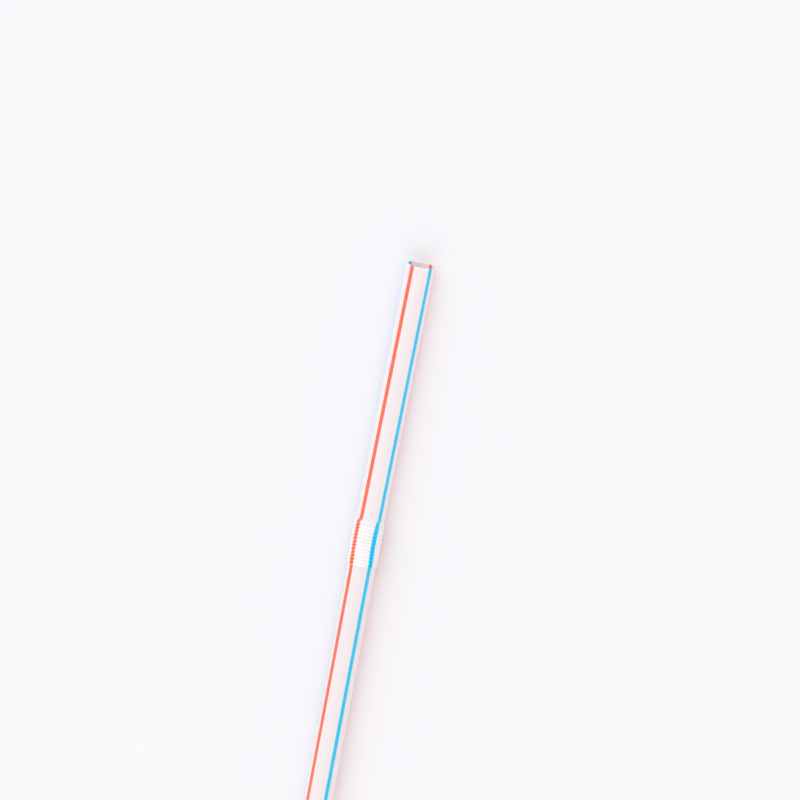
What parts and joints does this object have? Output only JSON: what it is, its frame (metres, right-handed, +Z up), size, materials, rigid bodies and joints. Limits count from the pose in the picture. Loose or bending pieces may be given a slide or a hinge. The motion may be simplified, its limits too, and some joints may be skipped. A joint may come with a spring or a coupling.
{
  "type": "flexible drinking straw",
  "caption": "Striped plastic drinking straw with its concertina neck pushed shut, lying on its side as it comes to rest.",
  "frame": {"origin": "on the surface the straw lies on, below the middle of its length", "axes": "+X along the long section, towards the mouth; +Z up"},
  "size_m": [0.2, 0.007, 0.0066],
  "materials": {
    "straw_plastic": "thin translucent white polypropylene with coloured stripes drawn into it lengthwise"
  },
  "bodies": {
    "root": {"straw": "straw_plastic"}
  },
  "joints": []
}
